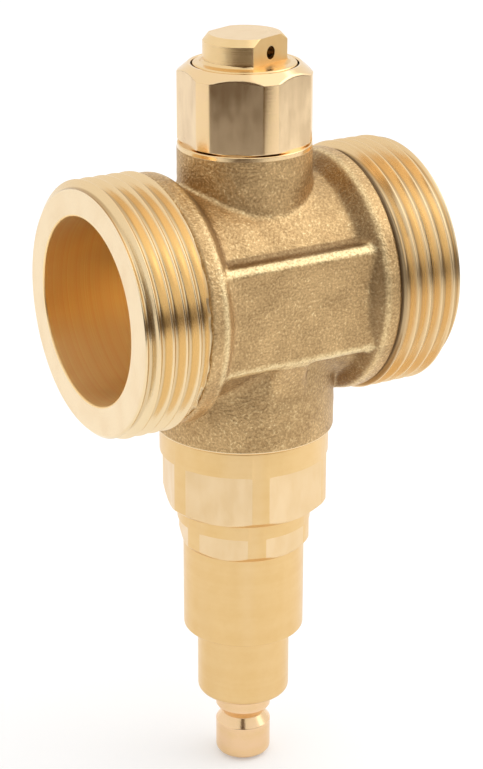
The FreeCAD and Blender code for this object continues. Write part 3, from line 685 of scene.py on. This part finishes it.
def drill_vent(piece, radius, height, turn, length):
    """Take a round hole out of the piece, level, at this height and turn."""
    end = length / 2
    corners = [(0, -end, 0), (radius, -end), (radius, end), (0, end, 0)]
    points, faces, _ = lathe(corners, 48)
    mesh = bpy.data.meshes.new("vent_drill")
    mesh.from_pydata(points * MM, [], outward(points, faces))
    lay = Matrix.Rotation(math.radians(turn), 4, "Z") @ Matrix.Rotation(math.radians(90), 4, "Y")
    mesh.transform(Matrix.Translation((0, 0, height * MM)) @ lay)
    drill = add_object("vent_drill", mesh)
    cut = piece.modifiers.new("vent", "BOOLEAN")
    cut.object = drill
    cut.operation = "DIFFERENCE"
    cut.solver = "EXACT"
    bpy.context.view_layer.update()
    drilled = piece.evaluated_get(bpy.context.evaluated_depsgraph_get())
    kept = bpy.data.meshes.new_from_object(drilled)
    piece.modifiers.clear()
    piece.data = kept
    piece.data.set_sharp_from_angle(angle=SHARP_EDGE)
    bpy.data.objects.remove(drill)


def make_adapter(material):
    """Adapter: spigot with a seal groove, round shoulder, milled hexagon and a chamfered foot."""
    spigot, spigot_top = 10.48, -15.6
    groove, groove_top, groove_low = 8.9, -22.0, -23.9
    round_radius, reach, foot_radius = 14.25, 13.0, 12.9
    seat, flats_top, shoulder, foot = -BASE_BOSS_DEPTH, -29.0, -37.3, -38.4
    socket, socket_roof, bore = 9.07, -28.0, 7.9
    ring_groove, ring_top, ring_low = 8.4, -17.2, -18.2
    corners = [
        (bore, spigot_top), (spigot, spigot_top), (spigot, groove_top), (groove, groove_top),
        (groove, groove_low), (spigot, groove_low), (spigot, seat), (round_radius, seat, EDGE * 2),
        (round_radius, flats_top + STEP_GAP, 0), (round_radius, flats_top - STEP_GAP, 0),
        (round_radius, shoulder), (foot_radius, foot), (socket, foot), (socket, socket_roof),
        (bore, socket_roof), (bore, ring_low), (ring_groove, ring_low), (ring_groove, ring_top),
        (bore, ring_top),
    ]
    flats = dict(sides=6, reach=reach, turn=FLATS_TURN, low=foot - EDGE, high=flats_top)
    make_turned("cartridge_adapter_hexagon", "cartridge_adapter", corners, material, 216, flats, round_radius)


def make_drain_housing(material):
    """Drain housing: band with a small hexagon, round barrel, stepped spout with a rounded mouth."""
    spigot, spigot_top = 9.0, -29.5
    groove, groove_top, groove_low = 8.0, -36.0, -37.2
    band, reach, barrel, spout = 11.35, 10.5, 10.35, 7.95
    foot, flats_top, band_shoulder, shoulder = -38.4, -41.5, -44.9, -45.9
    step, mouth, mouth_round = -62.0, -74.9, 1.1
    outlet, outlet_top, hole, hole_low = 5.75, -55.7, 3.2, -53.5
    seat, seat_top, chamber, chamber_floor = 4.2, -46.6, 7.0, -52.5
    corners = [
        (chamber, spigot_top), (spigot, spigot_top), (spigot, groove_top), (groove, groove_top),
        (groove, groove_low), (spigot, groove_low), (spigot, foot), (band, foot),
        (band, flats_top + STEP_GAP, 0), (band, flats_top - STEP_GAP, 0), (band, band_shoulder),
        (barrel, shoulder), (barrel, step, EDGE * 2), (spout, step), (spout, mouth, mouth_round),
        (outlet, mouth), (outlet, outlet_top), (hole, hole_low), (hole, seat_top), (seat, seat_top),
        (seat, chamber_floor), (chamber, chamber_floor),
    ]
    flats = dict(sides=6, reach=reach, turn=FLATS_TURN, low=shoulder, high=flats_top)
    make_turned("drain_housing_barrel", "drain_housing", corners, material, 216, flats, band)


def make_drain_stem(material):
    """Drain stem: thin stem, three-sided guide, and a rod with a V-groove above its knob."""
    stem, stem_top = 1.6, -44.0
    lobe, guide_top, guide_low = 5.67, -59.0, -62.0
    rod, rod_end, end_round = 4.8, -87.5, 1.0
    groove, groove_top, groove_middle, groove_low = 3.67, -78.2, -79.8, -81.4
    corners = [
        (0, stem_top, 0), (stem, stem_top), (stem, guide_top), (lobe, guide_top), (lobe, guide_low),
        (rod, guide_low - STEP_GAP), (rod, groove_top), (groove, groove_middle),
        (rod, groove_low, EDGE * 2.5), (rod, rod_end, end_round), (0, rod_end, 0),
    ]
    flats = dict(sides=3, reach=3.9, turn=FLATS_TURN, low=guide_low, high=guide_top + EDGE)
    make_turned("drain_stem_rod", "drain_stem", corners, material, 144, flats, lobe, "drain_plunger")


def make_spring(node, material, radius, wire, turns, low, high):
    """A coil of round wire between two heights, which rides on no single body."""
    points, faces = coil(radius, wire, turns, low, high)
    piece = new_piece(node + "_wire", points, outward(points, faces), node, None, material)
    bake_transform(piece)


# Finishes

def operator(operation, swapped=False):
    """An operator of two values that adds one Math node."""
    def apply(self, other):
        return self.math(operation, *((other, self) if swapped else (self, other)))
    return apply


class Level:
    """A socket of a recipe that is used like a number: each operator adds one Math node."""

    def __init__(self, recipe, socket):
        self.recipe, self.socket = recipe, socket

    def other(self, output):
        return Level(self.recipe, self.socket.node.outputs[output])

    def math(self, operation, *items):
        return self.recipe.node("Math", dict(enumerate(items)), operation=operation)

    __add__, __radd__ = operator("ADD"), operator("ADD", swapped=True)
    __sub__, __rsub__ = operator("SUBTRACT"), operator("SUBTRACT", swapped=True)
    __mul__, __rmul__ = operator("MULTIPLY"), operator("MULTIPLY", swapped=True)
    __or__ = operator("MAXIMUM")

    def __abs__(self):
        return self.math("ABSOLUTE", self)

    def hypot(self, other):
        return self.math("SQRT", self * self + other * other)

    def span(self, low, high):
        """0 up to the low value, 1 from the high value, and a soft step between them."""
        sockets = {0: self, 1: low, 2: high}
        return self.recipe.node("MapRange", sockets, interpolation_type="SMOOTHSTEP")


class Recipe:
    """The nodes of one finish, or of the studio's surroundings."""

    def __init__(self, tree):
        self.tree = tree
        tree.nodes.clear()

    def node(self, kind, sockets=None, output=0, **settings):
        """Adds a node: its settings first, then a value or a link for each named socket."""
        made = self.tree.nodes.new("ShaderNode" + kind)
        for name, value in settings.items():
            setattr(made, name, value)
        for name, value in (sockets or {}).items():
            if isinstance(value, Level):
                self.tree.links.new(value.socket, made.inputs[name])
            else:
                made.inputs[name].default_value = value
        return Level(self, made.outputs[output]) if made.outputs else None

    def place(self):
        """Object coordinates in millimetres."""
        metres = self.node("TexCoord", output="Object")
        return self.node("VectorMath", {0: metres, "Scale": 1 / MM}, operation="SCALE")

    def axes(self, place):
        x = self.node("SeparateXYZ", {0: place}, "X")
        return x, x.other("Y"), x.other("Z")

    def mark(self, name):
        """One of the values that a mesh carries for each point."""
        return self.node("Attribute", output="Fac", attribute_name=name)

    def stretched(self, place, share):
        """The place with its height scaled, which draws a grain out or packs it closer."""
        return self.node("VectorMath", {0: place, 1: (1.0, 1.0, share)}, operation="MULTIPLY")

    def grain(self, place, size, detail=2.0, roughness=0.5):
        """Noise whose lumps are about this size across."""
        sockets = {"Vector": place, "Scale": 1 / size, "Detail": detail, "Roughness": roughness}
        return self.node("TexNoise", sockets)

    def lines(self, along, spacing, detail=3.0):
        """Uneven parallel lines, this far apart along a distance."""
        sockets = {"W": along, "Scale": 1 / spacing, "Detail": detail}
        return self.node("TexNoise", sockets, noise_dimensions="1D")

    def mix(self, share, first, second):
        """One colour going over into another."""
        return self.node("Mix", {0: share, 6: first, 7: second}, 2, data_type="RGBA")

    def bump(self, height, depth):
        """A height as relief, this many millimetres deep."""
        return self.node("Bump", {"Distance": depth * MM, "Height": height})


def new_finish(name):
    material = bpy.data.materials.new(name + "_finish")
    material.use_nodes = True
    return material, Recipe(material.node_tree)


def surface(recipe, **sockets):
    named = {name.replace("_", " ").title(): value for name, value in sockets.items()}
    shader = recipe.node("BsdfPrincipled", named)
    recipe.node("OutputMaterial", {"Surface": shader})


def brass(red, green, blue):
    return (red, green, blue, 1.0)


THREAD_BRASS = brass(0.875, 0.69, 0.42)
# Darker tone of the threads on the right port and towards the top
DARKER_THREAD_BRASS = brass(0.81, 0.58, 0.31)
FACE_BRASS = brass(0.91, 0.73, 0.48)
WORN_FACE_BRASS = brass(0.83, 0.62, 0.37)
BORE_BRASS = brass(1.0, 0.78, 0.41)
DEEP_BORE_BRASS = brass(0.95, 0.65, 0.31)
# Colour of the painted shade in the right port's relief groove
PAINTED_GROOVE_SHADE = brass(0.24, 0.15, 0.075)
# Colour of the painted shade in the thread roots
PAINTED_ROOT_SHADE = brass(0.36, 0.21, 0.08)
GOLD_BRASS = brass(0.81, 0.56, 0.26)
DEEP_BRASS = brass(0.76, 0.49, 0.20)
CREAM_BRASS = brass(0.86, 0.645, 0.385)
BRIGHT_BRASS = brass(0.88, 0.64, 0.34)
ROSY_BRASS = brass(0.87, 0.61, 0.37)
TAN_BRASS = brass(0.62, 0.43, 0.25)
BLASTED_LIGHT = brass(0.80, 0.55, 0.27)
BLASTED_DARK = brass(0.40, 0.25, 0.11)
# Colour of the painted shade in the forging's corners and under the pads
PAINTED_SHADE_BROWN = brass(0.20, 0.12, 0.055)
# Colour of painted glints on the grit and of painted highlights along the forging's edges
BLASTED_GLINT = brass(0.98, 0.80, 0.45)


def forged_finish():
    """Blasted forging with bright machined ports, bore, holes and boss faces.

    The machined places are picked out by their distance along the pipe and from the two axes.
    """
    material, recipe = new_finish("forged_brass")
    place = recipe.place()
    x, y, z = recipe.axes(place)
    along, from_pipe, from_stem = abs(x), y.hypot(z), x.hypot(y)
    ports = along.span(RELIEF_START - 0.12, RELIEF_START)
    bore = 1 - from_pipe.span(FLOW_RADIUS + 0.2, FLOW_RADIUS + 0.3)
    holes = 1 - from_stem.span(CARTRIDGE_HOLE + 0.15, CARTRIDGE_HOLE + 0.25)
    top_end, base_end = TOP_BOSS_HEIGHT - TOP_BAND, BASE_BOSS_DEPTH - BASE_BAND
    boss_ends = z.span(top_end - BAND_STEP, top_end) | (0 - z).span(base_end - BAND_STEP, base_end)
    machined = ports | bore | holes | boss_ends

    cloud = recipe.grain(place, 5.0, 3.0)
    grit = recipe.grain(place, 0.40, 3.0, 0.65)
    peen = recipe.grain(place, 0.8, 2.0)
    # Painted glints scattered over the blasted grit
    glint = grit.span(0.58, 0.70) * (0.35 + 0.65 * cloud.span(0.40, 0.62))
    light = cloud.span(0.3, 0.7) * 0.35 + grit.span(0.3, 0.7) * 0.65
    blasted = recipe.mix(light, BLASTED_DARK, BLASTED_LIGHT)
    blasted = recipe.mix(glint, blasted, BLASTED_GLINT)
    painted_shade, bevel = recipe.mark("painted_shade"), recipe.mark("bevel")
    # Painted highlight along the pads' bevels, the top boss's foot and the collars' edges
    blasted = recipe.mix(bevel * (0.20 + 0.60 * grit.span(0.30, 0.60)), blasted, BLASTED_GLINT)
    # Painted shade in the forging's corners and under the pads, from the mesh's first mark
    blasted = recipe.mix(painted_shade.span(0.0, 1.0) * (0.90 - 0.4 * grit), blasted, PAINTED_SHADE_BROWN)

    tool_path = along + from_pipe
    tool_lines = recipe.lines(tool_path, 0.22)
    shade = recipe.lines(tool_path, 1.4, 2.0)
    face = along.span(PORT_FACE - 0.08, PORT_FACE - 0.02)
    wall = along.span(RELIEF_START, THREAD_START - 0.1) * from_pipe.span(19.9, 20.3)
    before_thread = (1 - along.span(THREAD_START + 0.15, THREAD_START + 0.3)) * from_pipe.span(18.6, 18.8)
    groove = along.span(RELIEF_START - 0.5, RELIEF_START + 0.1) * before_thread * (1 - wall * 0.55)
    on_thread = along.span(THREAD_START, THREAD_START + 0.2)
    root = (1 - from_pipe.span(THREAD_ROOT + 0.1, THREAD_ROOT + 0.4)) * on_thread
    right_end = x.span(-12.0, 12.0)
    upper_side = z.span(13.0, 20.0)
    # Painted light: from a little above the pipe's axis up to where the top darkening starts, the threads are
    # painted lighter where the light falls
    painted_lit_side = z.span(0.0, 4.0) * (1 - upper_side)
    cut = recipe.mix(shade.span(0.35, 0.7) * 0.3, THREAD_BRASS, BRIGHT_BRASS)
    # Darker on the right port and towards the top, and painted lighter where the light falls
    thread_darkening = right_end * (0.6 - 0.4 * painted_lit_side) + upper_side * (0.70 - 0.30 * right_end)
    # Strength of the painted shade in the thread roots, weaker where the light falls
    stain = 0.30 + 0.15 * right_end + 0.35 * upper_side - 0.22 * painted_lit_side
    cut = recipe.mix(thread_darkening, cut, DARKER_THREAD_BRASS)
    cut = recipe.mix(root * stain, cut, PAINTED_ROOT_SHADE)
    fine = tool_lines.span(0.35, 0.65)
    face_brass = recipe.mix(cloud.span(0.40, 0.70) * 0.45 + fine * 0.20, FACE_BRASS, WORN_FACE_BRASS)
    bore_brass = recipe.mix(shade.span(0.35, 0.65) * 0.4 + fine * 0.5, BORE_BRASS, DEEP_BORE_BRASS)
    cut = recipe.mix(face, cut, face_brass)
    cut = recipe.mix(bore, cut, bore_brass)

    colour = recipe.mix(machined, blasted, cut)
    # Painted shade over the collar's rounded edge, the relief groove and the thread's start wall on the right
    # port
    colour = recipe.mix(groove * right_end * 0.85, colour, PAINTED_GROOVE_SHADE)
    rough = 0.38 + 0.14 * cloud - 0.08 * bevel
    dull = abs(z).span(4.0, 13.0) * (0.16 + 0.08 * (0 - z).span(-2.0, 2.0)) * (0.5 + cloud)
    polish = 0.16 + 0.12 * shade + 0.06 * right_end - 0.10 * boss_ends
    polish = polish + 0.3 * groove + bore * (0.10 + dull)
    roughness = rough + machined * (polish - rough)
    turned_height = tool_lines * (0.05 + 0.06 * bore) * (1 - boss_ends)
    height = (grit * 0.6 + peen * 0.7) * (1 - machined) + turned_height * machined
    normal = recipe.bump(height, 0.15)
    surface(recipe, base_color=colour, metallic=1.0, roughness=roughness, normal=normal)
    return material


def turned_finish(name, turned, deep, milled, stained, roughness, line_depth, stain=0.0, matt=0.0):
    """Turned brass: fine lines round the axis, slow changes of tone, and paler, mottled milled flats."""
    material, recipe = new_finish(name)
    place = recipe.place()
    x, y, z = recipe.axes(place)
    path = z + x.hypot(y) * 0.83
    flat = recipe.mark("flat")
    tool_lines = recipe.lines(path, 0.25)
    bands = recipe.lines(path, 2.2, 2.0)
    cloud = recipe.grain(place, 2.4, 5.0, 0.65)
    smudge = recipe.grain(recipe.stretched(place, 0.6), 3.2, 2.0)
    drawn = recipe.grain(recipe.stretched(place, 0.2), 0.8, 3.0)
    streak = recipe.grain(recipe.stretched(place, 0.06), 6.0, 1.0)
    colour = recipe.mix(bands.span(0.3, 0.7) * 0.25 + cloud.span(0.3, 0.7) * 0.3, turned, deep)
    colour = recipe.mix(streak.span(0.35, 0.65) * 0.2, colour, milled)
    marks = smudge.span(0.30, 0.70) * 0.75 + drawn.span(0.30, 0.75) * 0.25
    flats = recipe.mix(marks * stain, milled, stained)
    colour = recipe.mix(flat, colour, flats)
    rough = roughness * (0.85 + 0.3 * cloud) + flat * (marks * 0.12 + matt)
    normal = recipe.bump(tool_lines * (1 - flat), line_depth)
    surface(recipe, base_color=colour, metallic=1.0, roughness=rough, normal=normal)
    return material


def steel_finish(name, tone, roughness):
    """Drawn or stamped stainless steel: fine scratches and slow changes of tone."""
    material, recipe = new_finish(name)
    place = recipe.place()
    scratch = recipe.grain(recipe.stretched(place, 4.0), 0.35, 3.0)
    cloud = recipe.grain(place, 3.0, 2.0)
    dark = tuple(channel * 0.72 for channel in tone)
    colour = recipe.mix(cloud.span(0.3, 0.7), (*tone, 1.0), (*dark, 1.0))
    normal = recipe.bump(scratch, 0.012)
    surface(recipe, base_color=colour, metallic=1.0, roughness=roughness + 0.15 * cloud, normal=normal)
    return material


def rubber_finish():
    """Moulded black seal rubber with a fine dull skin and a little bloom."""
    material, recipe = new_finish("seal_rubber")
    place = recipe.place()
    bloom = recipe.grain(place, 2.0, 4.0)
    skin = recipe.grain(place, 0.18, 2.0)
    colour = recipe.mix(bloom.span(0.45, 0.8), (0.018, 0.018, 0.019, 1.0), (0.055, 0.054, 0.052, 1.0))
    normal = recipe.bump(skin, 0.02)
    surface(recipe, base_color=colour, roughness=0.55 + 0.2 * bloom, normal=normal)
    return material


# Studio

VIEW_TURN, VIEW_RISE, VIEW_ROLL = np.radians((-30.646, 21.326, 0.131))
VIEW_REACH = 354.727
AIM_ASIDE, AIM_HEIGHT = -0.403, -17.983
FOCAL_PIXELS = 2119.466
IMAGE_HEIGHT = 769
SENSOR = 36.0
FLOOR_DROP = 0.4
SHEET = dict(left=900.0, right=575.0, front=380.0, back=1250.0)
TABLE_DROP, TABLE_REACH = 3.0, 1300.0
FRONT_HEIGHT, SIDE_HEIGHT = 330.0, 150.0
STAND = dict(start=(-140.0, -700.0), end=(120.0, -700.0), high=800.0)
PAPER_WHITE, PAPER_GLOW = (0.80, 0.80, 0.80, 1.0), 0.24
ROOM_BROWN = (0.095, 0.052, 0.021, 1.0)


def make_camera():
    """The camera stands back along its line of sight from a point on the boss axis, moved aside a little."""
    turn, roll = (Matrix.Rotation(angle, 4, "Z") for angle in (VIEW_TURN, VIEW_ROLL))
    tilt = Matrix.Rotation(TURN / 4 - VIEW_RISE, 4, "X")
    aim = Matrix.Translation((AIM_ASIDE * MM, 0, AIM_HEIGHT * MM))
    reach = Matrix.Translation((0, 0, VIEW_REACH * MM))
    data = bpy.data.cameras.new("camera")
    data.sensor_width = SENSOR
    data.lens = FOCAL_PIXELS * SENSOR / IMAGE_HEIGHT
    data.clip_start = 0.01
    camera = add_object("camera", data)
    camera.matrix_world = turn @ aim @ tilt @ reach @ roll
    bpy.context.scene.camera = camera


def make_board(name, corners, material):
    """A flat board of four corners: how far right, how far away from the camera and how high each lies."""
    mesh = bpy.data.meshes.new(name)
    mesh.from_pydata(np.array(corners) * MM, [], [range(4)])
    mesh.transform(Matrix.Rotation(VIEW_TURN, 4, "Z"))
    mesh.materials.append(material)
    board = add_object(name, mesh)
    return board


def level_corners(left, right, front, back, height):
    return [(-left, -front, height), (right, -front, height), (right, back, height), (-left, back, height)]


def upright_corners(start, end, low, high):
    return [(*start, low), (*end, low), (*end, high), (*start, high)]


def make_floor():
    """A white sheet under the valve. Round it lies a dark table, with the dim room in front.

    The camera doesn't see the table or the room: only the metal mirrors them.
    """
    floor = cad_box[0].z / MM - FLOOR_DROP
    white, recipe = new_finish("white_sheet")
    camera = recipe.node("LightPath", output="Is Camera Ray")
    seen = camera | camera.other("Is Glossy Ray") | camera.other("Is Transmission Ray")
    paper = recipe.node("BsdfDiffuse", {"Color": PAPER_WHITE})
    glow = recipe.node("Emission", {"Strength": seen * PAPER_GLOW})
    both = recipe.node("AddShader", {0: paper, 1: glow})
    recipe.node("OutputMaterial", {"Surface": both})
    make_board("white_sheet", level_corners(**SHEET, height=floor), white)

    dark, recipe = new_finish("dim_room")
    paint = recipe.node("BsdfDiffuse", {"Color": ROOM_BROWN})
    recipe.node("OutputMaterial", {"Surface": paint})
    low, reach = floor - TABLE_DROP, TABLE_REACH
    boards = {
        "dark_table": level_corners(reach, reach, reach, reach, low),
        "room_front": upright_corners((-0.7 * reach, -reach), (reach, -reach), low, FRONT_HEIGHT),
        "room_right": upright_corners((reach, -reach), (reach, -0.2 * reach), low, SIDE_HEIGHT),
        "room_stand": upright_corners(**STAND, low=low),
    }
    for name, corners in boards.items():
        make_board(name, corners, dark).visible_camera = False


def make_surroundings():
    """A plain white tent all round."""
    world = bpy.data.worlds.new("tent")
    world.use_nodes = True
    bpy.context.scene.world = world
    recipe = Recipe(world.node_tree)
    background = recipe.node("Background", {"Color": (1, 1, 1, 1), "Strength": 1.0})
    recipe.node("OutputWorld", {"Surface": background})


def make_lamp(name, stand, size, power):
    data = bpy.data.lights.new(name, "AREA")
    data.size, data.energy = size, power
    lamp = add_object(name, data)
    lamp.location = stand
    lamp.rotation_euler = (-Vector(stand)).to_track_quat("-Z", "Y").to_euler()


# Assembly

forged = forged_finish()
cartridge_brass = turned_finish(
    "cartridge_brass", GOLD_BRASS, DEEP_BRASS, CREAM_BRASS, GOLD_BRASS,
    roughness=0.30, line_depth=0.008, stain=0.4)
cap_brass = turned_finish(
    "cap_brass", BRIGHT_BRASS, GOLD_BRASS, GOLD_BRASS, DEEP_BRASS,
    roughness=0.25, line_depth=0.005, stain=0.6, matt=0.10)
hexagon_brass = turned_finish(
    "hexagon_brass", BRIGHT_BRASS, ROSY_BRASS, CREAM_BRASS, TAN_BRASS,
    roughness=0.16, line_depth=0.002, stain=0.45)
rod_brass = turned_finish(
    "rod_brass", ROSY_BRASS, GOLD_BRASS, ROSY_BRASS, ROSY_BRASS,
    roughness=0.19, line_depth=0.005)
inner_brass = turned_finish(
    "inner_brass", BRIGHT_BRASS, DEEP_BRASS, BRIGHT_BRASS, DEEP_BRASS,
    roughness=0.30, line_depth=0.012)
wire_steel = steel_finish("wire_steel", (0.62, 0.62, 0.63), 0.24)
sheet_steel = steel_finish("sheet_steel", (0.58, 0.58, 0.60), 0.34)
rubber = rubber_finish()

make_body(forged)
make_breaker_housing(hexagon_brass)
make_breaker_cap(cap_brass)
make_adapter(cartridge_brass)
make_drain_housing(cartridge_brass)
make_drain_stem(rod_brass)
make_spring("breaker_spring", wire_steel, radius=3.1, wire=0.6, turns=5.0,
            low=18.2, high=28.2)
make_spring("overtravel_spring", wire_steel, radius=5.1, wire=0.8, turns=3.5,
            low=-26.2, high=-19.2)
make_spring("return_spring", wire_steel, radius=5.4, wire=0.8, turns=3.0,
            low=-52.5, high=-46.5)

for item in frame["nodes"].values():
    slot = item.material_slots[0]
    if slot.material.name.startswith("seal_rubber"):
        slot.material = rubber
    elif slot.material.name.startswith("stainless_steel"):
        slot.material = sheet_steel
    else:
        slot.material = inner_brass

make_camera()
make_floor()
make_surroundings()
make_lamp("top_box", (0.33, -0.13, 0.52), size=0.70, power=0.50)
make_lamp("right_box", (0.36, -0.14, 0.23), size=0.35, power=0.35)
bpy.context.scene.view_settings.view_transform = "Standard"
